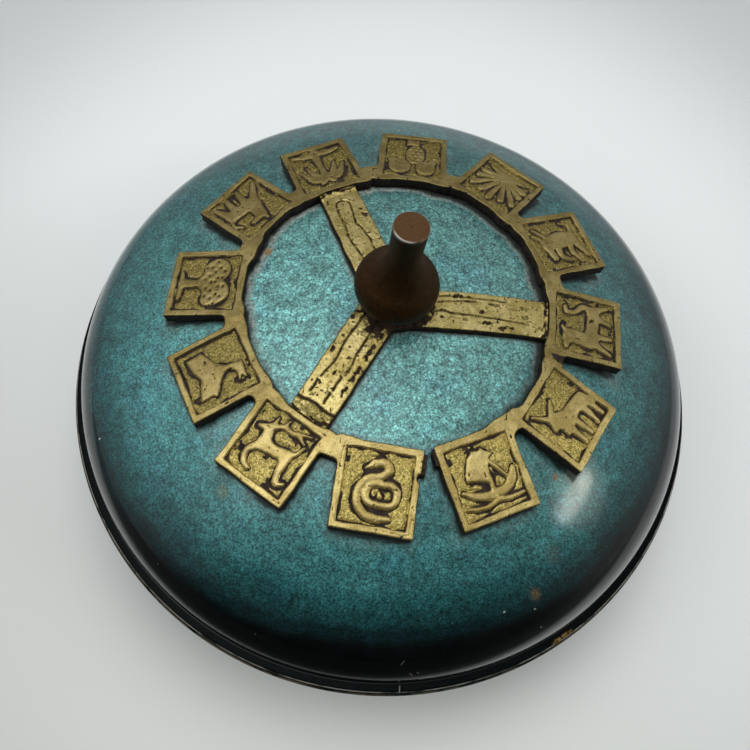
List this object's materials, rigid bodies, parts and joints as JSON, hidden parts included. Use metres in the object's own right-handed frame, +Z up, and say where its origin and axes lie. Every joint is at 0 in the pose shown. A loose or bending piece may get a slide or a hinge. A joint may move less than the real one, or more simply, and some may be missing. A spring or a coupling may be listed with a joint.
{
  "type": "lidded dish",
  "caption": "Round low enamelled dish with a domed lift-off lid, a cast brass ring of square relief tiles on straps, and a turned wooden knob.",
  "frame": {"origin": "centre of the resting face under the foot", "axes": "+Z up along the dish's axis, -Y to the front, +X to the right"},
  "size_m": [0.245, 0.245, 0.1383],
  "materials": {
    "lid_enamel": "gloss enamel, teal, mottled, shading to black at the shoulder",
    "bowl_enamel": "gloss enamel, black",
    "cast_brass": "antiqued sand casting with dark recesses and rubbed edges",
    "strap_brass": "engraved, dark lines, satin",
    "turned_brass": "plain turned, dulled",
    "knob_wood": "dark stained, satin oil",
    "foot_felt": "pressed wool felt"
  },
  "bodies": {
    "bowl": {"bowl_shell": "bowl_enamel", "foot_ring": "turned_brass", "foot_felt": "foot_felt"},
    "collar": {"locating_collar": "turned_brass"},
    "lid": {"lid_shell": "lid_enamel", "tile_ring": "cast_brass", "spoke_spider": "strap_brass", "knob": "knob_wood", "screw_washer": "turned_brass", "knob_screw": "turned_brass"}
  },
  "joints": [
    {"name": "lid_turn", "type": "hinge", "parent": "bowl", "child": "collar", "pos_m": [0, 0, 0.044], "axis": [0, 0, 1], "continuous": true},
    {"name": "lid_lift", "type": "slide", "parent": "collar", "child": "lid", "axis": [0, 0, 1], "range_m": [0, 0.12]}
  ]
}
